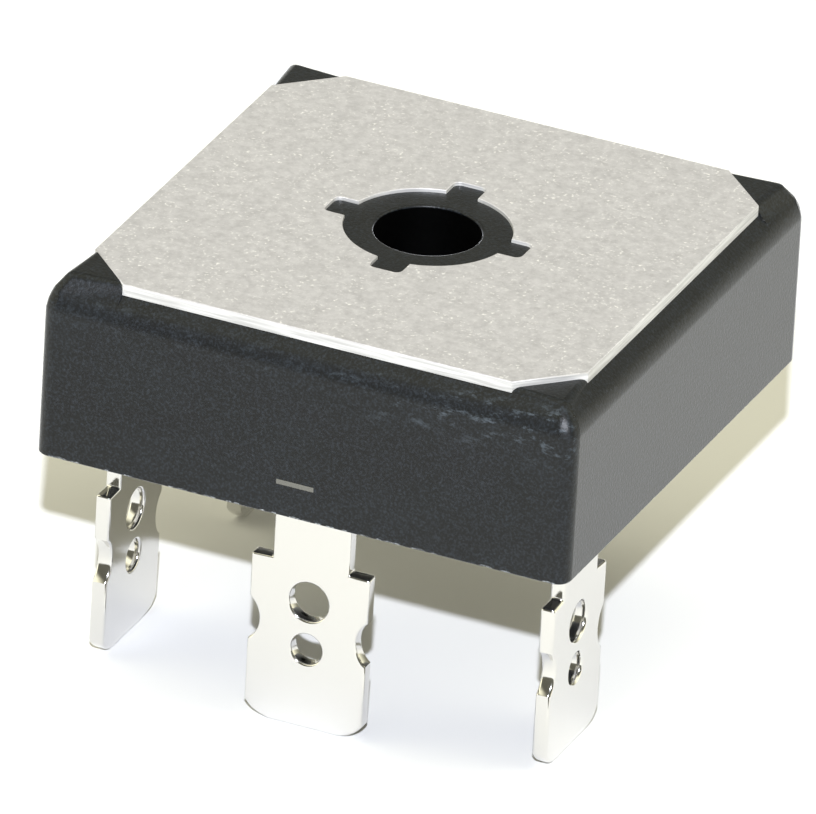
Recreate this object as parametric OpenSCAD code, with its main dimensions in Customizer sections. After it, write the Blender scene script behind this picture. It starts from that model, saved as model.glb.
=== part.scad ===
// Bridge rectifier in a square moulded case: four quick-connect tabs below, an aluminium base
// plate above and one screw hole through the middle. The case stands on its tabs, plate up.
// Origin on the floor under the hole's axis, X along the side marked minus, Z up, millimetres.

/* [Moulded case] */
// Side of the square case
case_w = 28.5; // [28:0.1:31]
// Height of the case from its underside to the ledge under the plate
case_h = 9.2; // [9:0.05:12]
// Radius of the upright corners
corner_r = 0.8; // [0.4:0.1:3]
// Width of the bevel round the ledge
bevel_w = 1.05; // [0.8:0.05:1.1]
// Height of the bevel round the ledge
bevel_h = 0.75; // [0.4:0.05:1.5]
// Depth of the moulding's corners below the plate's top face
corner_drop = 0.15; // [0.05:0.05:0.4]
// Diameter of the screw hole, clearance for M5
hole_d = 5.4; // [4.6:0.1:5.6]

/* [Base plate] */
// Height that the plate stands above the ledge
plate_proud = 0.6; // [0.3:0.05:1]
// Depth of the plate's lower step, let into the case
plate_seat = 0.9; // [0.6:0.05:1.5]
// Inset of the lower step, which locks the plate in the moulding
plate_step = 0.7; // [0.4:0.05:0.9]
// Leg of the chamfer at each corner of the plate
plate_corner = 2.8; // [1.5:0.1:4]
// Diameter of the opening round the screw hole
opening_d = 8.4; // [7.8:0.1:9]
// Reach of the four keying notches from the hole's axis
notch_reach = 5.3; // [4.8:0.1:5.6]
// Width of the keying notches
notch_w = 1.7; // [1:0.1:2.4]
// Radius of the notches' corners
notch_r = 0.35; // [0.1:0.05:0.45]
// Depth of the moulded ring below the plate's top face
ring_recess = 0.35; // [0.1:0.05:0.6]

/* [Quick-connect tabs] */
// Length of the tabs below the case
tab_len = 12.4; // [11:0.1:14]
// Width of a tab
tab_w = 6.35; // [5.5:0.05:6.6]
// Thickness of the tab strip
tab_t = 0.8; // [0.6:0.05:1]
// Height of the shoulders above the tip
shoulder_h = 9; // [8.2:0.1:10]
// Width of the shank above the shoulders
shank_w = 4.1; // [3.2:0.1:4.6]
// Wall of the case outside a tab
tab_wall = 1.9; // [1.5:0.05:2.2]
// Distance of the two AC tabs' middles from the minus side of the case
ac_tab_in = 6.75; // [6.3:0.05:7]
// Distance of the plus tab's middle from the opposite side of the case
plus_tab_in = 5.45; // [5.4:0.05:6]
// Length of a tip corner along the end
tip_cut_w = 1.4; // [0.8:0.1:2]
// Length of a tip corner up the side
tip_cut_h = 0.9; // [0.5:0.1:1.4]
// Radius of the arc between a tip corner's ends
tip_r = 2.2; // [1.7:0.1:4]
// Depth of the bevel on each face at the tip
tip_bevel_t = 0.15; // [0.05:0.05:0.25]
// Height of the bevel on each face at the tip
tip_bevel_h = 0.45; // [0.2:0.05:0.8]
// Diameter of the upper hole, which a receptacle's dimple snaps into
detent_d = 2.1; // [1.6:0.1:2.4]
// Height of the upper hole above the tip
detent_h = 7; // [6.8:0.1:7.4]
// Diameter of the lower hole, for a soldered wire
wire_d = 1.65; // [1.2:0.05:1.9]
// Height of the lower hole above the tip
wire_h = 4.4; // [4:0.1:4.6]
// Radius of the side scallops
scallop_r = 1.5; // [1:0.1:1.8]
// Depth of the side scallops
scallop_depth = 0.58; // [0.3:0.02:0.9]
// Height of the side scallops above the tip
scallop_h = 5.4; // [4.8:0.1:6]
// Inner radius of the bend into the foot
bend_r = 0.5; // [0.3:0.05:0.7]
// Length of the foot's flat
foot_len = 2.2; // [1.6:0.1:2.3]

/* [Ceramic tile and pads] */
// Thickness of the adhesive film under the plate
bond_t = 0.15; // [0.1:0.05:0.3]
// Thickness of the ceramic tile
tile_t = 0.6; // [0.4:0.05:0.8]
// Moulding left between the tile's edge and the plate's step
tile_margin = 0.8; // [0.6:0.1:1.2]
// Moulding between the screw hole and the tile
hub_wall = 3; // [2.6:0.1:3.1]
// Thickness of the copper pads
pad_t = 0.3; // [0.2:0.05:0.4]
// Bare tile round the pads
pad_margin = 0.4; // [0.2:0.1:0.6]
// Gap kept between copper at different voltages
live_gap = 1.5; // [1.2:0.1:1.6]

/* [Diode chips] */
// Side of a chip
chip_w = 4.4; // [3.6:0.1:4.6]
// Thickness of a chip
chip_t = 0.3; // [0.2:0.05:0.4]
// Thickness of every solder joint
solder_t = 0.1; // [0.05:0.05:0.15]

/* [Copper straps] */
// Width of the strap strip
strap_w = 2.4; // [1.8:0.1:2.6]
// Thickness of the strap strip
strap_t = 0.4; // [0.3:0.05:0.5]
// Radius of the strap's round end over a chip
strap_end_r = 2; // [1.9:0.1:2.1]
// Radius of the dimple's top, which is soldered to the chip
dimple_r = 1.2; // [1:0.1:1.3]
// Run of the dimple's sloping side
dimple_slope = 0.3; // [0.1:0.05:0.4]
// Height of the dimple
dimple_h = 0.35; // [0.2:0.05:0.45]
// Length of a strap's landing on a pad
landing_len = 2.4; // [1.8:0.1:2.6]
// Run of the ramp up to a landing
ramp_len = 0.8; // [0.6:0.1:0.9]
// Gap between the minus strap and the minus tab's foot
strap_gap = 0.35; // [0.2:0.05:0.6]

/* [Hidden] */
$fn = 64;
// A cut runs this far past the face that it opens
past = 1;

// Heights, from the tips of the tabs up
case_z = tab_len;
ledge_z = case_z + case_h;
plate_top_z = ledge_z + plate_proud;
plate_z = ledge_z - plate_seat;
ring_z = plate_top_z - ring_recess;
bond_z = plate_z - bond_t;
tile_z = bond_z - tile_t;
pad_z = tile_z - pad_t;
joint_z = pad_z - solder_t;
chip_z = joint_z - chip_t;
dimple_z = chip_z - solder_t;
strap_top_z = dimple_z - dimple_h;

// Plan sizes, from the case's sides in
ledge_w = case_w - 2 * bevel_w;
step_w = ledge_w - 2 * plate_step;
tile_w = step_w - 2 * tile_margin;
hub_r = hole_d / 2 + hub_wall;
pad_out = tile_w / 2 - pad_margin;
pad_in = hub_r + pad_margin;
pad_mid = (pad_in + pad_out) / 2;
pad_end = pad_in - live_gap;

// The tabs: their middles, and how near to the hole's axis their feet reach
tab_mid = case_w / 2 - tab_wall - tab_t / 2;
ac_tab_y = case_w / 2 - ac_tab_in;
plus_tab_y = case_w / 2 - plus_tab_in;
foot_in = tab_mid - tab_t / 2 - bend_r - foot_len;

// Middles of the chips, clear of the feet: two on the plus pad, one on each AC pad
chip_back = [foot_in - live_gap - chip_w / 2, pad_mid];
chip_side = [pad_mid, shank_w / 2 + chip_w / 2 + live_gap - ac_tab_y];

// The AC straps land at the far end of their pads, the minus strap next to its tab's foot
ac_strap_y = pad_end - solder_t - strap_w / 2;
minus_strap_y = strap_gap + strap_w / 2 - foot_in;
minus_strap_x = foot_in - live_gap - strap_w / 2;
landing_rise = joint_z - strap_top_z;

// ---- Outlines ----

module rounded_rect(w, d, r) {
    square([w - 2 * r, d], center = true);
    square([w, d - 2 * r], center = true);
    for (x = [-1, 1], y = [-1, 1])
        translate([x * (w / 2 - r), y * (d / 2 - r)])
            circle(r);
}

// A square with its four corners cut off at 45 degrees
module chamfered_square(w, leg) {
    h = w / 2;
    polygon([
        [-h + leg, -h], [h - leg, -h], [h, -h + leg], [h, h - leg],
        [h - leg, h], [-h + leg, h], [-h, h - leg], [-h, -h + leg]
    ]);
}

// The plate's opening: round, with a rounded notch to each side
module opening_outline() {
    circle(d = opening_d);
    rounded_rect(2 * notch_reach, notch_w, notch_r);
    rounded_rect(notch_w, 2 * notch_reach, notch_r);
}

// The case from one side, with the bevel that runs on past the ledge to the corners' top
module case_profile() {
    h = case_w / 2;
    rise = plate_proud - corner_drop;
    top_h = case_h + rise;
    top_x = h - bevel_w - rise * bevel_w / bevel_h;
    polygon([
        [-h, 0], [h, 0], [h, case_h - bevel_h], [top_x, top_h],
        [-top_x, top_h], [-h, case_h - bevel_h]
    ]);
}

// What is cut off a tip corner at the origin: the wedge outside an arc from (w, 0) to (0, h)
module tip_corner(w, h, r) {
    chord = norm([w, h]);
    rise = sqrt(r * r - chord * chord / 4);
    difference() {
        translate([-past, -past])
            square([w + past, h + past]);
        translate([w / 2 + rise * h / chord, h / 2 + rise * w / chord])
            circle(r);
    }
}

// The wide blade of a tab, tip at the origin
module blade_outline() {
    difference() {
        translate([-tab_w / 2, 0])
            square([tab_w, shoulder_h]);
        for (side = [0, 1]) mirror([side, 0]) {
            translate([-tab_w / 2, 0])
                tip_corner(tip_cut_w, tip_cut_h, tip_r);
            translate([-tab_w / 2 - scallop_r + scallop_depth, scallop_h])
                circle(scallop_r);
        }
    }
}

// The shank, its bend and its foot from the side: across the strip, then up
module shank_profile() {
    outer_r = bend_r + tab_t;
    bend_y = -tab_t / 2 + outer_r;
    bend_z = joint_z - outer_r;
    translate([-tab_t / 2, shoulder_h])
        square([tab_t, bend_z - shoulder_h]);
    intersection() {
        translate([bend_y, bend_z]) difference() {
            circle(outer_r);
            circle(bend_r);
        }
        translate([-tab_t / 2, bend_z])
            square([outer_r, outer_r]);
    }
    translate([bend_y, joint_z - tab_t])
        square([foot_len, tab_t]);
}

// ---- Shapes shared by like pieces ----

// Puts a profile drawn across and up on edge, w wide along X and centred
module along_x(w) {
    rotate([90, 0, 90])
        translate([0, 0, -w / 2])
            linear_extrude(w)
                children();
}

// Puts an outline drawn across and up on edge, w thick along Y and centred
module along_y(w) {
    rotate([90, 0, 0])
        translate([0, 0, -w / 2])
            linear_extrude(w)
                children();
}

// A stamped tab: tip at the origin, blade across X, foot towards +Y
module tab() {
    difference() {
        intersection() {
            along_y(tab_t)
                blade_outline();
            along_x(tab_w)
                polygon([
                    [-tab_t / 2 + tip_bevel_t, 0], [tab_t / 2 - tip_bevel_t, 0],
                    [tab_t / 2, tip_bevel_h], [tab_t / 2, shoulder_h],
                    [-tab_t / 2, shoulder_h], [-tab_t / 2, tip_bevel_h]
                ]);
        }
        for (hole = [[detent_d, detent_h], [wire_d, wire_h]])
            translate([0, 0, hole[1]])
                rotate([90, 0, 0])
                    cylinder(d = hole[0], h = tab_t + 2 * past, center = true);
    }
    along_x(shank_w)
        shank_profile();
}

// A layer over the foot's flat, such as the solder on it
module foot_layer(z, t) {
    translate([-shank_w / 2, bend_r + tab_t / 2, z])
        cube([shank_w, foot_len, t]);
}

// Where each tab stands, foot turned to the middle
module at_minus_tab() {
    translate([0, -tab_mid, 0])
        children();
}

module at_plus_tab() {
    translate([-tab_mid, plus_tab_y, 0])
        rotate([0, 0, -90])
            children();
}

module at_ac_tab() {
    translate([-tab_mid, -ac_tab_y, 0])
        rotate([0, 0, -90])
            children();
}

module on_right() {
    mirror([1, 0, 0])
        children();
}

// A flat layer between two corners in plan
module layer(low, high, z, t) {
    translate([low[0], low[1], z])
        cube([high[0] - low[0], high[1] - low[1], t]);
}

// Layers of the left half: the AC pad, a chip's stack, its dimple's disc, the strap's landing
module ac_pad_layer(z, t) {
    layer([-pad_out, -pad_out], [-pad_in, pad_end], z, t);
}

module chip_layer(mid, z, t) {
    layer([-mid[0] - chip_w / 2, mid[1] - chip_w / 2], [-mid[0] + chip_w / 2, mid[1] + chip_w / 2], z, t);
}

module dimple_layer(mid, z, t) {
    translate([-mid[0], mid[1], z])
        cylinder(r = dimple_r, h = t);
}

module ac_landing_layer(z, t) {
    x = -chip_back[0] - strap_w / 2 - ramp_len;
    layer([x - landing_len, ac_strap_y - strap_w / 2], [x, ac_strap_y + strap_w / 2], z, t);
}

module minus_landing_layer(z, t) {
    layer([-landing_len, minus_strap_y - strap_w / 2], [landing_len, minus_strap_y + strap_w / 2], z, t);
}

// The minus pad ends with the strap's landing, towards the hub
module minus_pad_layer(z, t) {
    layer([-pad_end, -pad_out], [pad_end, minus_strap_y + strap_w / 2], z, t);
}

module plus_pad_layer(z, t) {
    layer([-pad_out, pad_in], [pad_out, pad_out], z, t);
}

// The bond and the tile have one outline, open round the hub
module tile_layer(z, t) {
    translate([0, 0, z]) difference() {
        translate([-tile_w / 2, -tile_w / 2, 0])
            cube([tile_w, tile_w, t]);
        translate([0, 0, -past])
            cylinder(r = hub_r, h = t + 2 * past);
    }
}

// A flat run of strap between two corners
module strap_run(low, high) {
    layer(low, high, strap_top_z - strap_t, strap_t);
}

// The round end of a strap over a chip, with the dimple that is pressed up to it
module strap_end(mid) {
    translate([-mid[0], mid[1], strap_top_z]) {
        translate([0, 0, -strap_t])
            cylinder(r = strap_end_r, h = strap_t);
        rotate_extrude()
            polygon([
                [0, -strap_t], [dimple_r + dimple_slope, -strap_t],
                [dimple_r + dimple_slope, 0], [dimple_r, dimple_h], [0, dimple_h]
            ]);
    }
}

// The hollow that the punch leaves below a dimple, a slope's wall inside it
module punch_hollow(mid) {
    wall = strap_t * dimple_slope / dimple_h;
    top_r = dimple_r - wall;
    translate([-mid[0], mid[1], strap_top_z - strap_t])
        rotate_extrude()
            polygon([
                [0, -past], [top_r + dimple_slope, -past],
                [top_r + dimple_slope, 0], [top_r, dimple_h], [0, dimple_h]
            ]);
}

// ---- The pieces ----

// Black epoxy, moulded round everything else in one shot
module moulded_case() {
    color("#26282c")
    difference() {
        union() {
            difference() {
                case_block();
                translate([0, 0, plate_z])
                    linear_extrude(plate_seat + past)
                        step_outline();
                translate([0, 0, ledge_z])
                    linear_extrude(past)
                        chamfered_square(ledge_w, plate_corner);
            }
            // The hub fills the plate's opening, and its top is the ring round the hole
            translate([0, 0, tile_z])
                linear_extrude(ring_z - tile_z)
                    opening_outline();
        }
        translate([0, 0, case_z - past])
            cylinder(d = hole_d, h = case_h + plate_proud + 2 * past);
        tile_layer(tile_z, bond_t + tile_t + plate_seat / 2);
        minus_tab();
        plus_tab();
        minus_strap();
        minus_pad_layer(pad_z, pad_t + tile_t / 2);
        plus_pad_layer(pad_z, pad_t + tile_t / 2);
        at_minus_tab() foot_room();
        at_plus_tab() foot_room();
        minus_landing_layer(joint_z - strap_t / 2, strap_t / 2 + solder_t + pad_t / 2);
        for (side = [0, 1]) mirror([side, 0, 0]) {
            at_ac_tab() {
                tab();
                foot_room();
            }
            ac_pad_layer(pad_z, pad_t + tile_t / 2);
            ac_strap_left();
            ac_landing_layer(joint_z - strap_t / 2, strap_t / 2 + solder_t + pad_t / 2);
            for (mid = [chip_back, chip_side]) {
                chip_layer(mid, chip_z, chip_t + solder_t + pad_t / 2);
                dimple_layer(mid, dimple_z - dimple_h / 2, dimple_h / 2 + solder_t + chip_t / 2);
            }
        }
    }
}

// Room for the solder on a foot, run into the foot and the pad that it joins
module foot_room() {
    foot_layer(joint_z - tab_t / 2, tab_t / 2 + solder_t + pad_t / 2);
}

// Bevelled along both sides, with rounded upright corners
module case_block() {
    translate([0, 0, case_z])
        intersection() {
            along_x(case_w)
                case_profile();
            along_y(case_w)
                case_profile();
            linear_extrude(case_h + plate_proud)
                rounded_rect(case_w, case_w, corner_r);
        }
}

// An inset square keeps its corner cut parallel to the outer one
module step_outline() {
    chamfered_square(step_w, plate_corner - plate_step * (2 - sqrt(2)));
}

// Pressed aluminium: a flange on the ledge and a step let into the case
module base_plate() {
    color("#cdcbc6")
    difference() {
        union() {
            translate([0, 0, ledge_z])
                linear_extrude(plate_proud)
                    chamfered_square(ledge_w, plate_corner);
            translate([0, 0, plate_z])
                linear_extrude(plate_seat)
                    step_outline();
        }
        translate([0, 0, plate_z - past])
            linear_extrude(plate_seat + plate_proud + 2 * past)
                opening_outline();
    }
}

module tile_bond() {
    color("#b9b4a6") tile_layer(bond_z, bond_t);
}

module ceramic_tile() {
    color("#f1efe8") tile_layer(tile_z, tile_t);
}

module minus_tab() {
    color("#d9d8d4") at_minus_tab() tab();
}

module plus_tab() {
    color("#d9d8d4") at_plus_tab() tab();
}

module ac_tab_left() {
    color("#d9d8d4") at_ac_tab() tab();
}

module ac_tab_right() {
    on_right() ac_tab_left();
}

module minus_pad() {
    color("#c07a4a") minus_pad_layer(pad_z, pad_t);
}

module plus_pad() {
    color("#c07a4a") plus_pad_layer(pad_z, pad_t);
}

module ac_pad_left() {
    color("#c07a4a") ac_pad_layer(pad_z, pad_t);
}

module ac_pad_right() {
    on_right() ac_pad_left();
}

module chip(mid) {
    color("#4b5563") chip_layer(mid, chip_z, chip_t);
}

module chip_solder(mid) {
    color("#a9adb2") chip_layer(mid, joint_z, solder_t);
}

module dimple_solder(mid) {
    color("#a9adb2") dimple_layer(mid, dimple_z, solder_t);
}

module foot_solder() {
    color("#a9adb2") foot_layer(joint_z, solder_t);
}

// From a back chip's dimple down the side of the hub, then out to the AC pad
module ac_strap_left() {
    half = strap_w / 2;
    run_x = -chip_back[0];
    foot_x = run_x - half - ramp_len;
    bottom = strap_top_z - strap_t;
    color("#c98554")
    difference() {
        union() {
            strap_end(chip_back);
            strap_run([run_x - half, ac_strap_y - half], [run_x + half, pad_mid]);
            translate([0, ac_strap_y, 0])
                along_y(strap_w)
                    polygon([
                        [run_x + half, bottom], [run_x - half, bottom],
                        [foot_x, bottom + landing_rise], [foot_x - landing_len, bottom + landing_rise],
                        [foot_x - landing_len, joint_z], [foot_x, joint_z],
                        [run_x - half, strap_top_z], [run_x + half, strap_top_z]
                    ]);
        }
        punch_hollow(chip_back);
    }
}

module ac_strap_right() {
    on_right() ac_strap_left();
}

// Joins both side chips round the front of the hub and lands on the minus pad
module minus_strap() {
    half = strap_w / 2;
    ramp_x = landing_len + ramp_len;
    bottom = strap_top_z - strap_t;
    color("#c98554")
    difference() {
        union() {
            for (side = [0, 1]) mirror([side, 0, 0]) {
                strap_end(chip_side);
                strap_run([-pad_mid, chip_side[1] - half], [-minus_strap_x + half, chip_side[1] + half]);
                strap_run([-minus_strap_x - half, minus_strap_y - half],
                          [-minus_strap_x + half, chip_side[1] + half]);
            }
            translate([0, minus_strap_y, 0])
                along_y(strap_w)
                    polygon([
                        [-minus_strap_x, bottom], [-ramp_x, bottom],
                        [-landing_len, bottom + landing_rise], [landing_len, bottom + landing_rise],
                        [ramp_x, bottom], [minus_strap_x, bottom],
                        [minus_strap_x, strap_top_z], [ramp_x, strap_top_z],
                        [landing_len, joint_z], [-landing_len, joint_z],
                        [-ramp_x, strap_top_z], [-minus_strap_x, strap_top_z]
                    ]);
        }
        for (side = [0, 1]) mirror([side, 0, 0])
            punch_hollow(chip_side);
    }
}

module strap_solder_left() {
    color("#a9adb2") ac_landing_layer(joint_z, solder_t);
}

module strap_solder_right() {
    on_right() strap_solder_left();
}

module strap_solder_minus() {
    color("#a9adb2") minus_landing_layer(joint_z, solder_t);
}

moulded_case();
base_plate();
tile_bond();
ceramic_tile();
minus_tab();
plus_tab();
ac_tab_left();
ac_tab_right();
minus_pad();
plus_pad();
ac_pad_left();
ac_pad_right();
chip(chip_back);  // chip_back_left
on_right() chip(chip_back);  // chip_back_right
chip(chip_side);  // chip_side_left
on_right() chip(chip_side);  // chip_side_right
chip_solder(chip_back);  // chip_solder_back_left
on_right() chip_solder(chip_back);  // chip_solder_back_right
chip_solder(chip_side);  // chip_solder_side_left
on_right() chip_solder(chip_side);  // chip_solder_side_right
dimple_solder(chip_back);  // dimple_solder_back_left
on_right() dimple_solder(chip_back);  // dimple_solder_back_right
dimple_solder(chip_side);  // dimple_solder_side_left
on_right() dimple_solder(chip_side);  // dimple_solder_side_right
ac_strap_left();
ac_strap_right();
minus_strap();
strap_solder_left();
strap_solder_right();
strap_solder_minus();
at_minus_tab() foot_solder();  // foot_solder_minus
at_plus_tab() foot_solder();  // foot_solder_plus
at_ac_tab() foot_solder();  // foot_solder_left
on_right() at_ac_tab() foot_solder();  // foot_solder_right
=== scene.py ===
import math

import bmesh
import bpy
from mathutils import Matrix, Vector, noise


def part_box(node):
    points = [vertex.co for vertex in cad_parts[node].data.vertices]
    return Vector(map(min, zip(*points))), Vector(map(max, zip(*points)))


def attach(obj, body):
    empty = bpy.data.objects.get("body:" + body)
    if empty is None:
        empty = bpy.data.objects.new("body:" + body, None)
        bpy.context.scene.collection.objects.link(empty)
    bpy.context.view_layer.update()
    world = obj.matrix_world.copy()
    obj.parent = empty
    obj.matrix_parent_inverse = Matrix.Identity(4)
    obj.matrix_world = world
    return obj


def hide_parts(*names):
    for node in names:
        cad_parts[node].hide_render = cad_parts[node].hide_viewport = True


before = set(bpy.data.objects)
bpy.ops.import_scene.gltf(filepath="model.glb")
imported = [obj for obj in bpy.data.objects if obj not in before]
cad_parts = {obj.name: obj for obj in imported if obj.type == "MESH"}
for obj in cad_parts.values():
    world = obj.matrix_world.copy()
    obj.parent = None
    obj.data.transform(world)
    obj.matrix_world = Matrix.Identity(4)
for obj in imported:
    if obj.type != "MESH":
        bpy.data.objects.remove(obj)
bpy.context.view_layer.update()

MM = 0.001
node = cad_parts

# ---- Camera ----
# A long lens set back about a metre, a little right of the side marked minus and above it,
# and tipped slightly so that the case leans to the left.
AZIMUTH = math.radians(22.68)
ELEVATION = math.radians(27.08)
LEAN = math.radians(3.35)
CAMERA_DISTANCE = 1139.3 * MM
AIM = Vector((-0.605, 0.241, 11.991)) * MM
FOCAL_LENGTH = 1020.2  # in the lens's own unit, millimetres
VIEW_REACH = 20  # metres, past the far end of the paper


def direction_from(azimuth, elevation):
    """The direction from the object to something at that azimuth and elevation."""
    flat = math.cos(elevation)
    return Vector((math.sin(azimuth) * flat, -math.cos(azimuth) * flat, math.sin(elevation)))


lens = bpy.data.cameras.new("long_lens")
lens.lens = FOCAL_LENGTH
lens.clip_end = VIEW_REACH
camera = bpy.data.objects.new("camera", lens)
bpy.context.scene.collection.objects.link(camera)
bpy.context.scene.camera = camera
to_camera = direction_from(AZIMUTH, ELEVATION)
turn = to_camera.to_track_quat("Z", "Y").to_matrix().to_4x4() @ Matrix.Rotation(LEAN, 4, "Z")
camera.matrix_world = Matrix.Translation(AIM + to_camera * CAMERA_DISTANCE) @ turn


# ---- Floor and light ----
# White paper under and behind the object, a small flash just above the lens, and the warm
# light of the room, which fills the shadows.
FLOOR_WIDTH = 8  # metres, so that no edge of the paper shows
PAPER = "#f0f0f0"
FLASH_COLOUR = "#eff3fd"
FLASH_DISTANCE = 2170 * MM
FLASH_SIZE = 45 * MM
FLASH_AZIMUTH = math.radians(22.35)
FLASH_ELEVATION = math.radians(34.5)
FLASH_POWER = 70
ROOM_COLOUR = "#fffbde"
ROOM_LIGHT = 1.84
ROOM_BACK = 0.13
ROOM_FRONT = 0.08
ROOM_OVERHEAD = 0.8
BACK_FADE = (-0.75, -0.1)  # from straight behind the object, -1, to the sides, 0
FRONT_FADE = (0.1, 0.45)  # from the sides towards the camera, 1
OVERHEAD_FROM = 0.3


def linear(hex_colour):
    """An sRGB hex colour as linear red, green, blue and alpha."""
    parts = [int(hex_colour[i:i + 2], 16) / 255 for i in (1, 3, 5)]
    return [c / 12.92 if c <= 0.04045 else ((c + 0.055) / 1.055) ** 2.4 for c in parts] + [1]


def add_node(tree, kind, inputs=None, **settings):
    """Adds a node with its settings; each input is given a value, or a socket to link to."""
    made = tree.nodes.new(kind)
    for name, value in settings.items():
        setattr(made, name, value)
    for key, value in (inputs or {}).items():
        if isinstance(value, bpy.types.NodeSocket):
            tree.links.new(value, made.inputs[key])
        else:
            made.inputs[key].default_value = value
    return made


def new_material(name, **values):
    """A material with its shader's own sockets set; returns material, tree and shader."""
    material = bpy.data.materials.new(name)
    material.use_nodes = True
    shader = material.node_tree.nodes["Principled BSDF"]
    for socket, value in values.items():
        shader.inputs[socket.replace("_", " ")].default_value = value
    return material, material.node_tree, shader


# Plain matte paper, which shows the shadows and hardly any gloss
paper, _, _ = new_material("matte_paper", Base_Color=linear(PAPER), Roughness=0.95)

floor_mesh = bpy.data.meshes.new("floor")
bm = bmesh.new()
bmesh.ops.create_grid(bm, x_segments=1, y_segments=1, size=FLOOR_WIDTH / 2)
bm.to_mesh(floor_mesh)
bm.free()
floor_mesh.materials.append(paper)
floor = bpy.data.objects.new("floor", floor_mesh)
bpy.context.scene.collection.objects.link(floor)

flash_light = bpy.data.lights.new("flash", "AREA")
flash_light.shape = "DISK"
flash_light.size = FLASH_SIZE
flash_light.energy = FLASH_POWER
flash_light.color = linear(FLASH_COLOUR)[:3]
flash = bpy.data.objects.new("flash", flash_light)
bpy.context.scene.collection.objects.link(flash)
to_flash = direction_from(FLASH_AZIMUTH, FLASH_ELEVATION)
flash.matrix_world = (Matrix.Translation(AIM + to_flash * FLASH_DISTANCE)
                      @ to_flash.to_track_quat("Z", "Y").to_matrix().to_4x4())

# The room is brightest at the sides, dim at the back and overhead, and dark round the camera
room = bpy.data.worlds.new("room")
room.use_nodes = True
looking = add_node(room.node_tree, "ShaderNodeTexCoord").outputs["Generated"]
forward = add_node(room.node_tree, "ShaderNodeVectorMath",
                   {0: looking, 1: direction_from(AZIMUTH, 0)}, operation="DOT_PRODUCT")
upward = add_node(room.node_tree, "ShaderNodeSeparateXYZ", {0: looking})
at_back = add_node(room.node_tree, "ShaderNodeMapRange",
                   {"Value": forward.outputs["Value"],
                    "From Min": BACK_FADE[0], "From Max": BACK_FADE[1],
                    "To Min": ROOM_BACK, "To Max": 1.0}, interpolation_type="SMOOTHSTEP")
at_front = add_node(room.node_tree, "ShaderNodeMapRange",
                    {"Value": forward.outputs["Value"],
                     "From Min": FRONT_FADE[0], "From Max": FRONT_FADE[1],
                     "To Min": 1.0, "To Max": ROOM_FRONT}, interpolation_type="SMOOTHSTEP")
by_height = add_node(room.node_tree, "ShaderNodeMapRange",
                     {"Value": upward.outputs["Z"], "From Min": OVERHEAD_FROM, "From Max": 1.0,
                      "To Min": ROOM_LIGHT, "To Max": ROOM_LIGHT * ROOM_OVERHEAD})
strength = at_back.outputs["Result"]
for factor in (at_front, by_height):
    strength = add_node(room.node_tree, "ShaderNodeMath",
                        {0: strength, 1: factor.outputs["Result"]},
                        operation="MULTIPLY").outputs["Value"]
background = room.node_tree.nodes["Background"]
background.inputs["Color"].default_value = linear(ROOM_COLOUR)
room.node_tree.links.new(strength, background.inputs["Strength"])
bpy.context.scene.world = room
bpy.context.scene.view_settings.view_transform = "Standard"


# ---- Moulded case ----
# Black epoxy moulding compound, transfer moulded round the whole circuit in one shot. The mould
# rounds the crease above its walls, and handling has nicked its lower edge.
EPOXY = "#040608"
EPOXY_DUST = "#20252b"
CHIPPED = "#3a3d40"
CHIPPED_FILLER = "#a9adb0"
# The hole's wall: the same epoxy painted near black, as painted shade deep in the hole
BORE_PAINTED_SHADE = "#010101"
BORE_DUST_IN_PAINTED_SHADE = "#030303"
SCUFF = "#69747e"

# Radii of the uprights, of the hips between two slopes, of the crease between wall and slope, of
# the ridge between slope and corner fill, and of the small rolls on lesser edges
UPRIGHT_RADIUS = 0.75 * MM
HIP_RADIUS = 0.46 * MM
CREASE_RADIUS = 0.6 * MM
RIDGE_RADIUS = 0.3 * MM
RING_EDGE = 0.12 * MM
LOWER_EDGE = 0.1 * MM
EDGE_SEGMENTS = 6
ROLL_SEGMENTS = 3

# The corner fills: how far their tips reach past the plate's sides, how far inside those sides
# they meet its cut corners, how much they rise above the solid's, and how much lower the front
# right one lies
CORNER_REACH = 0.15 * MM
CORNER_TUCK = 0.05 * MM
CORNER_RISE = 0.14 * MM
CORNER_SINK = 0.32 * MM
RING_RISE = 0.16 * MM

# The nicks: spacing of the points that carry them, size, depth, how rare they are, and the finer
# layer over them with its share
NICK_SPACING = 0.15 * MM
NICK_SIZE = 0.5 * MM
NICK_DEPTH = 0.08 * MM
NICK_LEAST = 0.34
NICK_GAIN = 1.6
NICK_INWARD = 0.8
FINE_NICKS = 3.1
FINE_SHARE = 0.6
FINE_SHIFT = Vector((7, 3, 5))

# The grain and the specks are drawn coarser than a real mould's, which would be too fine to see
MOULD_GRAIN = 0.16 * MM
MOULD_SPECK = 0.14 * MM
GRAIN_HEIGHT = 0.03 * MM
CLOUD_SIZE = 2.2 * MM
SCUFF_SIZE = 0.7 * MM
SCUFF_STRETCH = (0.6, 1.0, 1.6)
SCUFF_FALL = (3.6 * MM, 1.9 * MM)  # below the case's top
SCUFF_DEPTH = (0.9 * MM, 0.3 * MM)  # in from the side marked minus

# Tolerances, zones and angles that tell the solid's parts from each other
WELD = 0.001 * MM
SLIVER = 0.002 * MM
NEAR = 0.01 * MM
LOOSELY_NEAR = 0.1 * MM
SIDE_BAND = 1 * MM  # in from the case's sides
TOP_BAND = 0.3 * MM  # down from its top
ARC_BAND = 0.4 * MM  # up from the crease, past the ends of the corners' arcs
HOLE_ZONE = 3 * MM  # out from the hole's axis, as are the next two
RING_ZONE = 6 * MM
RING_CLEAR = 9 * MM
LONG_EDGE = 5 * MM
FLAT = math.radians(0.5)
SOFT = math.radians(25)
SHARP = math.radians(60)

# The upward part of a face's normal, by what the face is
UPRIGHT = 0.02
STEEP = 0.1
SLOPING = (0.3, 0.95)
LEVEL = 0.9

# Edges sharper than this stay crisp in the shading
CASE_CRISP = math.radians(30)


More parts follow.
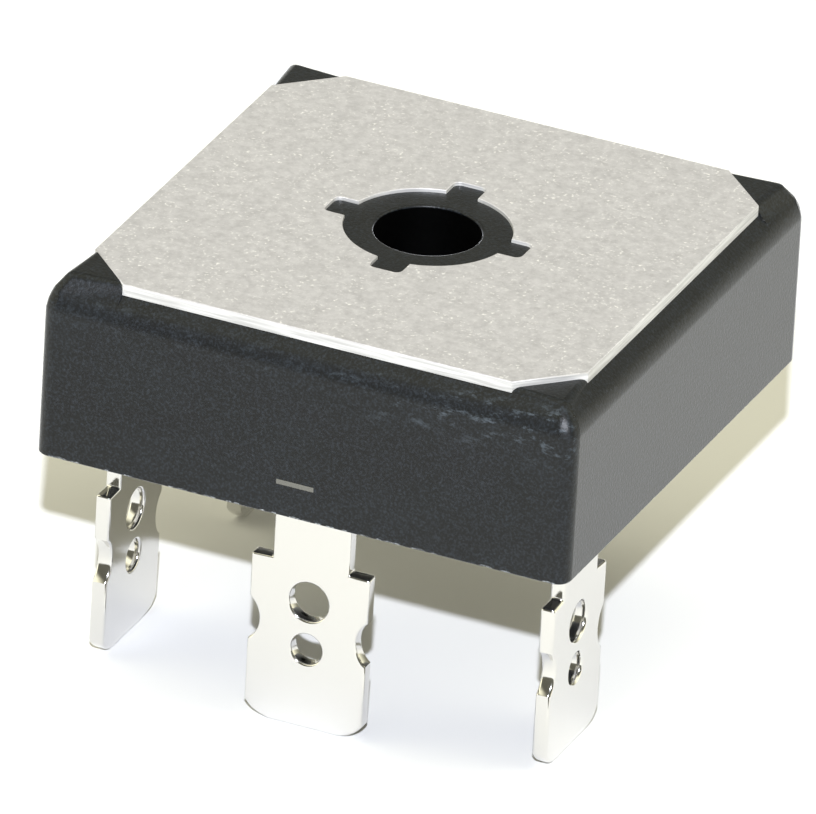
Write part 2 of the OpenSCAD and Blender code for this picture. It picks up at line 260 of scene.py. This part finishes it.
def dressed_copy(source):
    """A bmesh of a CAD node with its doubles merged and its flat faces made whole."""
    bm = bmesh.new()
    bm.from_mesh(node[source].data)
    bmesh.ops.remove_doubles(bm, verts=bm.verts, dist=WELD)
    bmesh.ops.dissolve_limit(bm, angle_limit=FLAT, verts=bm.verts, edges=bm.edges)
    bm.normal_update()
    return bm


def round_edges(bm, edges, radius):
    """Gives the edges a small roll of that radius."""
    bmesh.ops.bevel(bm, geom=edges, offset=radius, offset_type="OFFSET", segments=ROLL_SEGMENTS,
                    profile=0.5, affect="EDGES", clamp_overlap=True, material=-1)


def place(bm, name, materials, stands_for=None):
    mesh = bpy.data.meshes.new(name)
    bm.to_mesh(mesh)
    bm.free()
    for material in materials:
        mesh.materials.append(material)
    piece = bpy.data.objects.new(name, mesh)
    bpy.context.scene.collection.objects.link(piece)
    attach(piece, "root")
    if stands_for:
        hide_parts(stands_for)
    return piece


def smooth_across(piece, angle):
    """Shades the piece smooth: edges sharper than the angle stay crisp, large faces flat."""
    bm = bmesh.new()
    bm.from_mesh(piece.data)
    for face in bm.faces:
        face.smooth = True
    for edge in bm.edges:
        edge.smooth = edge.calc_face_angle(0) < angle
    bm.to_mesh(piece.data)
    bm.free()
    piece.modifiers.new("flat_faces", "WEIGHTED_NORMAL").keep_sharp = True


case_low, case_high = (Vector(corner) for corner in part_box("moulded_case"))
plate_low, plate_high = (Vector(corner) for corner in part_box("base_plate"))


def is_wall(face):
    """Whether the face is one of the case's upright sides."""
    outermost = max(abs(c) for c in face.calc_center_median().xy)
    return abs(face.normal.z) < UPRIGHT and outermost > case_high.x - SIDE_BAND


def is_slope(face):
    """Whether the face is part of the bevel above the walls."""
    centre = face.calc_center_median()
    return (SLOPING[0] < face.normal.z < SLOPING[1] and centre.z > plate_low.z
            and centre.xy.length > RING_CLEAR)


def is_top(face):
    """Whether the face is the top of a corner fill."""
    return face.normal.z > LEVEL and face.calc_center_median().z > case_high.z - TOP_BAND


def outermost_of(edge):
    """How far the edge reaches from the middle towards one of the four sides."""
    return max(abs(c) for v in edge.verts for c in v.co.xy)


bm = dressed_copy("moulded_case")

# The solid's upright corners are made square again, so that one bevel can round every edge
crease_z = min(v.co.z for f in bm.faces if is_slope(f) for v in f.verts)
for side_x, side_y in ((-1, -1), (-1, 1), (1, -1), (1, 1)):
    for level, least, most in ((case_low.z, 0, case_low.z + LOOSELY_NEAR),
                               (crease_z, crease_z - LOOSELY_NEAR, crease_z + ARC_BAND)):
        arc = [v for v in bm.verts if least <= v.co.z <= most
               and v.co.x * side_x > case_high.x - UPRIGHT_RADIUS
               and v.co.y * side_y > case_high.y - UPRIGHT_RADIUS]
        bmesh.ops.pointmerge(bm, verts=arc, merge_co=(side_x * case_high.x,
                                                      side_y * case_high.y, level))
bmesh.ops.dissolve_degenerate(bm, dist=WELD, edges=bm.edges)
bm.normal_update()

# The moulding fills the plate's cut corners, a little past where its sides would meet
cut_line = max(abs(v.co.x) + abs(v.co.y) for v in bm.verts if v.co.z > case_high.z - NEAR
               and abs(abs(v.co.x) - abs(v.co.y)) > LOOSELY_NEAR)
cut_start = cut_line - plate_high.x
for outward in ((-1, 0, 0), (1, 0, 0), (0, -1, 0), (0, 1, 0)):
    faces = [f for f in bm.faces if is_slope(f)]
    geometry = list(dict.fromkeys([*faces, *(e for f in faces for e in f.edges),
                                   *(v for f in faces for v in f.verts)]))
    bmesh.ops.bisect_plane(bm, geom=geometry, dist=SLIVER, plane_no=outward,
                           plane_co=Vector(outward) * cut_start)
contact = plate_high.x - CORNER_TUCK
for vert in bm.verts:
    if vert.co.z < case_high.z - NEAR:
        continue
    x, y = abs(vert.co.x), abs(vert.co.y)
    if abs(x - y) < LOOSELY_NEAR:
        x = y = plate_high.x + CORNER_REACH
    elif x > y:
        x, y = contact, cut_line - contact
    else:
        x, y = cut_line - contact, contact
    vert.co.x, vert.co.y = math.copysign(x, vert.co.x), math.copysign(y, vert.co.y)
    vert.co.z += CORNER_RISE
    if vert.co.x > 0 > vert.co.y:
        vert.co.z -= CORNER_SINK
bm.normal_update()

# The ring round the screw hole rises nearly to the plate's face, and its inner rim is rounded
ring_z = max(v.co.z for v in bm.verts if v.co.xy.length < HOLE_ZONE)
for vert in bm.verts:
    if abs(vert.co.z - ring_z) < NEAR and vert.co.xy.length < RING_ZONE:
        vert.co.z += RING_RISE
round_edges(bm, [e for e in bm.edges if all(v.co.z > ring_z and v.co.xy.length < HOLE_ZONE
                                            for v in e.verts)], RING_EDGE)
bm.normal_update()

# One bevel rounds the uprights, the hips, the creases and the ridges together, because they meet
# at the corners. An edge's weight is its radius as a share of the widest one.
weight = bm.edges.layers.float.new("bevel_weight_edge")
for edge in bm.edges:
    if len(edge.link_faces) != 2 or edge.calc_face_angle(0) < SOFT:
        continue
    walls, slopes, tops = (sum(is_one(face) for face in edge.link_faces)
                           for is_one in (is_wall, is_slope, is_top))
    if walls == 2:
        edge[weight] = 1
    elif slopes == 2:
        edge[weight] = HIP_RADIUS / UPRIGHT_RADIUS
    elif walls and slopes:
        edge[weight] = CREASE_RADIUS / UPRIGHT_RADIUS
    elif slopes and tops:
        edge[weight] = RIDGE_RADIUS / UPRIGHT_RADIUS
sharp = bpy.data.meshes.new("sharp_moulding")
bm.to_mesh(sharp)
bm.free()
blank = bpy.data.objects.new("sharp_moulding", sharp)
bpy.context.scene.collection.objects.link(blank)
bevel = blank.modifiers.new("rounding", "BEVEL")
bevel.affect = "EDGES"
bevel.profile = 0.5
bevel.limit_method = "WEIGHT"
bevel.width = UPRIGHT_RADIUS
bevel.segments = EDGE_SEGMENTS
bevel.use_clamp_overlap = False
bm = bmesh.new()
bm.from_object(blank, bpy.context.evaluated_depsgraph_get())
bpy.data.objects.remove(blank)
bpy.data.meshes.remove(sharp)
bmesh.ops.dissolve_degenerate(bm, dist=SLIVER, edges=bm.edges)
bm.normal_update()
lower = [e for e in bm.edges if all(v.co.z < case_low.z + NEAR for v in e.verts)
         and e.calc_face_angle(0) > SHARP and outermost_of(e) > case_high.x - SIDE_BAND]
round_edges(bm, lower, LOWER_EDGE)

# Nicks along the lower edge, a little paler where the surface is broken
lip_z = case_low.z + LOWER_EDGE + NEAR
lip_side = case_high.x - LOWER_EDGE - NEAR
strip = [e for e in bm.edges if e.calc_length() > LONG_EDGE
         and abs(e.verts[0].co.z - e.verts[1].co.z) < NEAR
         and max(v.co.z for v in e.verts) < lip_z and outermost_of(e) > lip_side]
bmesh.ops.subdivide_edges(bm, edges=strip, cuts=int(2 * case_high.x / NICK_SPACING))
nicked = set()
for vert in bm.verts:
    x, y = abs(vert.co.x), abs(vert.co.y)
    if vert.co.z >= lip_z or max(x, y) < lip_side:
        continue
    coarse = noise.noise(vert.co / NICK_SIZE)
    fine = noise.noise(vert.co * FINE_NICKS / NICK_SIZE + FINE_SHIFT)
    depth = max(0, coarse - NICK_LEAST) + FINE_SHARE * max(0, fine - NICK_LEAST)
    if depth <= 0:
        continue
    nicked.add(vert)
    depth = min(depth * NICK_GAIN, 1) * NICK_DEPTH
    if vert.co.z > case_low.z + 2 * NEAR:
        vert.co.z += depth
    if vert.co.z < lip_z - 2 * NEAR:
        axis = 0 if x > y else 1
        vert.co[axis] -= math.copysign(depth * NICK_INWARD, vert.co[axis])
bm.normal_update()
for face in bm.faces:
    if face.calc_area() < NICK_SPACING ** 2 and any(v in nicked for v in face.verts):
        face.material_index = 1
    # The hole's wall takes the near-black epoxy, which is painted shade in the deep hole
    if abs(face.normal.z) < STEEP and face.calc_center_median().xy.length < HOLE_ZONE:
        face.material_index = 2


def add_epoxy(name, base, dust, roughness, grain, sheen):
    """One look of the compound: its base colour, the dust on it and the strength of its grain."""
    material, tree, shader = new_material(name, Base_Color=linear(base), Roughness=roughness,
                                          IOR=1.39, Sheen_Weight=sheen, Sheen_Roughness=0.3)
    place_on = add_node(tree, "ShaderNodeTexCoord").outputs["Object"]

    # Dust: faint clouds of bloom, and specks in the grain's hollows
    clouds = add_node(tree, "ShaderNodeTexNoise",
                      {"Vector": place_on, "Scale": 1 / CLOUD_SIZE, "Detail": 6.0,
                       "Roughness": 0.65})
    specks = add_node(tree, "ShaderNodeTexNoise",
                      {"Vector": place_on, "Scale": 1 / MOULD_SPECK, "Detail": 3.0,
                       "Roughness": 0.7})
    bloom = add_node(tree, "ShaderNodeMapRange",
                     {"Value": clouds.outputs["Fac"], "From Min": 0.45, "From Max": 0.75,
                      "To Min": 0.0, "To Max": 0.15})
    fleck = add_node(tree, "ShaderNodeMapRange",
                     {"Value": specks.outputs["Fac"], "From Min": 0.46, "From Max": 0.68,
                      "To Min": 0.0, "To Max": 1.0})
    amount = add_node(tree, "ShaderNodeMath",
                      {0: bloom.outputs["Result"], 1: fleck.outputs["Result"]},
                      operation="ADD", use_clamp=True)
    dusty = add_node(tree, "ShaderNodeMix", {0: amount.outputs["Value"], 6: linear(base),
                                             7: linear(dust)}, data_type="RGBA")

    # Scuffs: short pale smears on the upper part of the side marked minus, most on the right
    spot = add_node(tree, "ShaderNodeSeparateXYZ", {0: place_on})
    stretched = add_node(tree, "ShaderNodeMapping", {"Vector": place_on, "Scale": SCUFF_STRETCH})
    smears = add_node(tree, "ShaderNodeTexNoise",
                      {"Vector": stretched.outputs["Vector"], "Scale": 1 / SCUFF_SIZE,
                       "Detail": 5.0, "Roughness": 0.75})
    ragged = add_node(tree, "ShaderNodeMapRange",
                      {"Value": smears.outputs["Fac"], "From Min": 0.55, "From Max": 0.8})
    height = add_node(tree, "ShaderNodeMapRange",
                      {"Value": spot.outputs["Z"], "From Min": case_high.z - SCUFF_FALL[0],
                       "From Max": case_high.z - SCUFF_FALL[1]})
    to_right = add_node(tree, "ShaderNodeMapRange",
                        {"Value": spot.outputs["X"], "From Min": -0.1 * case_high.x,
                         "From Max": 0.9 * case_high.x, "To Min": 0.15, "To Max": 1.0})
    front = add_node(tree, "ShaderNodeMapRange",
                     {"Value": spot.outputs["Y"], "From Min": case_low.y + SCUFF_DEPTH[0],
                      "From Max": case_low.y + SCUFF_DEPTH[1]})
    scuff = ragged.outputs["Result"]
    for part in (height, to_right, front):
        scuff = add_node(tree, "ShaderNodeMath", {0: scuff, 1: part.outputs["Result"]},
                         operation="MULTIPLY").outputs["Value"]
    worn = add_node(tree, "ShaderNodeMix", {0: scuff, 6: dusty.outputs[2], 7: linear(SCUFF)},
                    data_type="RGBA")
    tree.links.new(worn.outputs[2], shader.inputs["Base Color"])

    # Grain: the fine pits that the eroded mould leaves
    pits = add_node(tree, "ShaderNodeTexNoise",
                    {"Vector": place_on, "Scale": 1 / MOULD_GRAIN, "Detail": 3.0,
                     "Roughness": 0.6})
    bump = add_node(tree, "ShaderNodeBump", {"Height": pits.outputs["Fac"], "Strength": grain,
                                             "Distance": GRAIN_HEIGHT})
    tree.links.new(bump.outputs["Normal"], shader.inputs["Normal"])
    return material


# Matte black with a fine grain from the eroded mould, and a paler bloom where dust has settled
epoxy = add_epoxy("epoxy_moulding_compound", EPOXY, EPOXY_DUST, 0.42, grain=0.5, sheen=0.48)
# A break shows the pale glass filler of the compound
chipped = add_epoxy("chipped_epoxy", CHIPPED, CHIPPED_FILLER, 0.6, grain=0.8, sheen=0.1)
# The core pin leaves the hole's wall smooth; its near-black colour, darker than the rest of the
# epoxy and without dust, is painted shade deep in the hole
bore_painted_shade = add_epoxy("epoxy_bore_painted_shade", BORE_PAINTED_SHADE, BORE_DUST_IN_PAINTED_SHADE, 0.3, grain=0.1, sheen=0.0)
case = place(bm, "case_moulding", [epoxy, chipped, bore_painted_shade], "moulded_case")
smooth_across(case, CASE_CRISP)


# ---- Minus dash ----
# The short dash that marks the minus tab, printed on the wall above it in flat grey ink that
# stands just proud of the epoxy.
DASH_COLOUR = "#62615b"
DASH_LENGTH = 2.0 * MM
DASH_HEIGHT = 0.25 * MM
DASH_X = -0.27 * MM
DASH_RISE = 1.84 * MM  # above the case's lower edge
INK = 0.015 * MM
bm = bmesh.new()
bmesh.ops.create_cube(
    bm, size=1, matrix=Matrix.Translation((DASH_X, case_low.y, case_low.z + DASH_RISE))
    @ Matrix.Diagonal((DASH_LENGTH, 2 * INK, DASH_HEIGHT, 1)))
ink, _, _ = new_material("grey_ink", Base_Color=linear(DASH_COLOUR), Roughness=0.6)
place(bm, "minus_dash", [ink])


# ---- Base plate ----
# Aluminium sheet, punched, etched dull on its faces, and bright where the punch sheared it. It
# carries the heat to what the rectifier is screwed to, and the moulding holds it by its rim.
ALUMINIUM = "#bab8ba"
ALUMINIUM_PALE = "#d3d1d3"
# The colour of the painted glints on the etched face
PAINTED_GLINT = "#f8f6f5"
SHEARED = "#b9b8b6"
SHEARED_PALE = "#dcdbd9"
PLATE_EDGE = 0.11 * MM
ETCH_CLOUD = 0.55 * MM
SPECK_CLUSTER = 1.3 * MM
SHEAR_LINE = 0.12 * MM
SHEAR_STRETCH = (0.04, 0.04, 1.0)
ETCHED_FROM = 0.5  # the upward part of a face's normal, above which it is etched
METAL_CRISP = math.radians(40)

# The grit and the crystals' painted glints are drawn coarser than real, which would be too fine to
# see
ETCH_GRIT = 0.25 * MM
SPECK_SIZE = 0.19 * MM
GRIT_HEIGHT = 0.02 * MM

bm = dressed_copy("base_plate")
rim = [e for e in bm.edges if all(v.co.z > plate_high.z - NEAR for v in e.verts)
       and e.calc_face_angle(0) > SHARP]
round_edges(bm, rim, PLATE_EDGE)
for face in bm.faces:
    face.material_index = 1 if face.normal.z < ETCHED_FROM else 0

# Etching leaves a mottled grey with loose clusters of crystals, whose glints are painted into the
# colour as near-white specks
aluminium, tree, shader = new_material(
    "etched_aluminium", Base_Color=linear(ALUMINIUM), Metallic=0.4, Roughness=0.55)
place_on = add_node(tree, "ShaderNodeTexCoord").outputs["Object"]
etching = add_node(tree, "ShaderNodeTexNoise",
                   {"Vector": place_on, "Scale": 1 / ETCH_CLOUD, "Detail": 4.0,
                    "Roughness": 0.75})
shade = add_node(tree, "ShaderNodeMapRange",
                 {"Value": etching.outputs["Fac"], "From Min": 0.32, "From Max": 0.68})
tone = add_node(tree, "ShaderNodeMix", {0: shade.outputs["Result"], 6: linear(ALUMINIUM),
                                        7: linear(ALUMINIUM_PALE)}, data_type="RGBA")
# Painted glints: near-white specks where the etched crystals would catch the light
crystal_glints = add_node(tree, "ShaderNodeTexNoise",
                    {"Vector": place_on, "Scale": 1 / SPECK_SIZE, "Detail": 1.0, "Roughness": 0.5})
bright = add_node(tree, "ShaderNodeMapRange",
                  {"Value": crystal_glints.outputs["Fac"], "From Min": 0.59, "From Max": 0.78})
clusters = add_node(tree, "ShaderNodeTexNoise",
                    {"Vector": place_on, "Scale": 1 / SPECK_CLUSTER, "Detail": 3.0,
                     "Roughness": 0.6})
dense = add_node(tree, "ShaderNodeMapRange",
                 {"Value": clusters.outputs["Fac"], "From Min": 0.4, "From Max": 0.6,
                  "To Min": 0.1, "To Max": 1.0})
painted_glint = add_node(tree, "ShaderNodeMath", {0: bright.outputs["Result"], 1: dense.outputs["Result"]},
                 operation="MULTIPLY")
face_colour = add_node(tree, "ShaderNodeMix", {0: painted_glint.outputs["Value"], 6: tone.outputs[2],
                                               7: linear(PAINTED_GLINT)}, data_type="RGBA")
tree.links.new(face_colour.outputs[2], shader.inputs["Base Color"])
grit = add_node(tree, "ShaderNodeTexNoise",
                {"Vector": place_on, "Scale": 1 / ETCH_GRIT, "Detail": 4.0, "Roughness": 0.7})
relief = add_node(tree, "ShaderNodeBump",
                  {"Height": grit.outputs["Fac"], "Strength": 0.5, "Distance": GRIT_HEIGHT})
tree.links.new(relief.outputs["Normal"], shader.inputs["Normal"])

# The sheared wall is smoother and brighter, with fine lines along it
sheared, tree, shader = new_material(
    "sheared_aluminium", Base_Color=linear(SHEARED), Metallic=0.25, Roughness=0.36)
place_on = add_node(tree, "ShaderNodeTexCoord").outputs["Object"]
along = add_node(tree, "ShaderNodeMapping", {"Vector": place_on, "Scale": SHEAR_STRETCH})
lines = add_node(tree, "ShaderNodeTexNoise",
                 {"Vector": along.outputs["Vector"], "Scale": 1 / SHEAR_LINE, "Detail": 2.0})
shade = add_node(tree, "ShaderNodeMapRange",
                 {"Value": lines.outputs["Fac"], "From Min": 0.35, "From Max": 0.65})
tone = add_node(tree, "ShaderNodeMix", {0: shade.outputs["Result"], 6: linear(SHEARED),
                                        7: linear(SHEARED_PALE)}, data_type="RGBA")
tree.links.new(tone.outputs[2], shader.inputs["Base Color"])
plate = place(bm, "heat_spreader", [aluminium, sheared], "base_plate")
smooth_across(plate, METAL_CRISP)


# ---- Quick-connect tabs ----
# Brass strip, stamped, bent and plated with bright tin. The die rolls its edges slightly. Each tab
# takes a push-on connector, and its bent foot is soldered to the circuit inside the moulding.
TIN = "#e0dfdd"
TAB_EDGE = 0.17 * MM
TAB_CORNER = math.radians(50)

# Plating from a bright bath is nearly a mirror, so the blades show the paper and the room
tin, _, _ = new_material(
    "bright_tin_plating", Base_Color=linear(TIN), Metallic=1.0, Roughness=0.12)
for tab in ("minus_tab", "plus_tab", "ac_tab_left", "ac_tab_right"):
    bm = dressed_copy(tab)
    round_edges(bm, [e for e in bm.edges if e.calc_face_angle(0) > TAB_CORNER], TAB_EDGE)
    piece = place(bm, tab + "_plated", [tin], tab)
    smooth_across(piece, METAL_CRISP)


# ---- Ceramic tile and its bond ----
# A pressed and fired alumina tile, stuck to the plate with a filled silicone film. It insulates
# the plate from the circuit.
ALUMINA = "#efede6"
ALUMINA_SHADE = "#dedbd1"
FIRED_GRAIN = 0.3 * MM
BOND = "#b7b2a5"
BOND_FILLER = "#d2cec4"
FILLER_GRAIN = 0.12 * MM
TILE_RELIEF = 0.01 * MM


def dress(names, material):
    """Gives CAD nodes, whose shapes stay, their finish."""
    for name in names:
        for material_slot in node[name].material_slots:
            material_slot.material = material


def mottle(tree, shader, grain, dark, pale, relief):
    """Two tones of one material mixed over its grain, with a relief of that depth."""
    spot = add_node(tree, "ShaderNodeTexCoord").outputs["Object"]
    pattern = add_node(tree, "ShaderNodeTexNoise",
                       {"Vector": spot, "Scale": 1 / grain, "Detail": 4.0, "Roughness": 0.6})
    tones = add_node(tree, "ShaderNodeMix", {0: pattern.outputs["Fac"], 6: linear(dark),
                                             7: linear(pale)}, data_type="RGBA")
    tree.links.new(tones.outputs[2], shader.inputs["Base Color"])
    surface = add_node(tree, "ShaderNodeBump", {"Height": pattern.outputs["Fac"],
                                                "Strength": 0.5, "Distance": relief})
    tree.links.new(surface.outputs["Normal"], shader.inputs["Normal"])


# Fired ceramic is matte and chalky; the film is a soft putty grey with pale filler grains
alumina, tree, shader = new_material("fired_alumina", Roughness=0.75, IOR=1.76)
mottle(tree, shader, FIRED_GRAIN, ALUMINA_SHADE, ALUMINA, TILE_RELIEF)
dress(["ceramic_tile"], alumina)
bond, tree, shader = new_material("filled_silicone_film", Roughness=0.6, IOR=1.41)
mottle(tree, shader, FILLER_GRAIN, BOND, BOND_FILLER, TILE_RELIEF)
dress(["tile_bond"], bond)


# ---- Copper pads and straps ----
# Rolled copper sheet: pads bonded to the tile, and straps stamped and formed with a dimple over
# each chip. Rolling leaves fine lines, and soldering heat leaves brown tints.
COPPER = "#c87f52"
COPPER_TINT = "#a4613c"
ROLLING_LINE = 0.08 * MM
ROLLING_STRETCH = (0.03, 1.0, 1.0)
TINT_SIZE = 2.5 * MM
COPPER_RELIEF = 0.005 * MM

# Satin metal, duller and sharper in turn along the rolling lines, with brown heat tints
copper, tree, shader = new_material("rolled_copper", Metallic=1.0, Roughness=0.32)
mottle(tree, shader, TINT_SIZE, COPPER_TINT, COPPER, COPPER_RELIEF)
place_on = add_node(tree, "ShaderNodeTexCoord").outputs["Object"]
rolled = add_node(tree, "ShaderNodeMapping", {"Vector": place_on, "Scale": ROLLING_STRETCH})
rolling = add_node(tree, "ShaderNodeTexNoise",
                   {"Vector": rolled.outputs["Vector"], "Scale": 1 / ROLLING_LINE, "Detail": 2.0})
dullness = add_node(tree, "ShaderNodeMapRange",
                    {"Value": rolling.outputs["Fac"], "From Min": 0.3, "From Max": 0.7,
                     "To Min": 0.24, "To Max": 0.42})
tree.links.new(dullness.outputs["Result"], shader.inputs["Roughness"])
dress([name for name in node if name.endswith(("_pad", "_strap"))
       or name.startswith(("ac_pad_", "ac_strap_"))], copper)


# ---- Diode chips ----
# Silicon, diced from a wafer and metallised on both faces. Each of the four is soldered between a
# copper pad and a strap, and passes current one way.
SILICON = "#4b5563"
SILICON_DARK = "#3a424d"
DIE_HAZE = 0.9 * MM
DIE_RELIEF = 0.002 * MM

# Dark grey and nearly smooth, with a faint haze
silicon, tree, shader = new_material("metallised_silicon", Metallic=0.6, Roughness=0.28)
mottle(tree, shader, DIE_HAZE, SILICON_DARK, SILICON, DIE_RELIEF)
dress([name for name in node if name.startswith(("chip_back", "chip_side"))], silicon)


# ---- Solder ----
# Soft solder, reflowed in thin sheets and discs between every pair of metal faces. It holds the
# circuit together inside the moulding.
SOLDER = "#b4b8bd"
SOLDER_FROST = "#989da3"
FROST_GRAIN = 0.2 * MM
FROST_RELIEF = 0.02 * MM

# It freezes to a dull grey with a frosted, slightly grainy skin
solder, tree, shader = new_material("frosted_solder", Metallic=1.0, Roughness=0.45)
mottle(tree, shader, FROST_GRAIN, SOLDER_FROST, SOLDER, FROST_RELIEF)
dress([name for name in node if "solder" in name], solder)
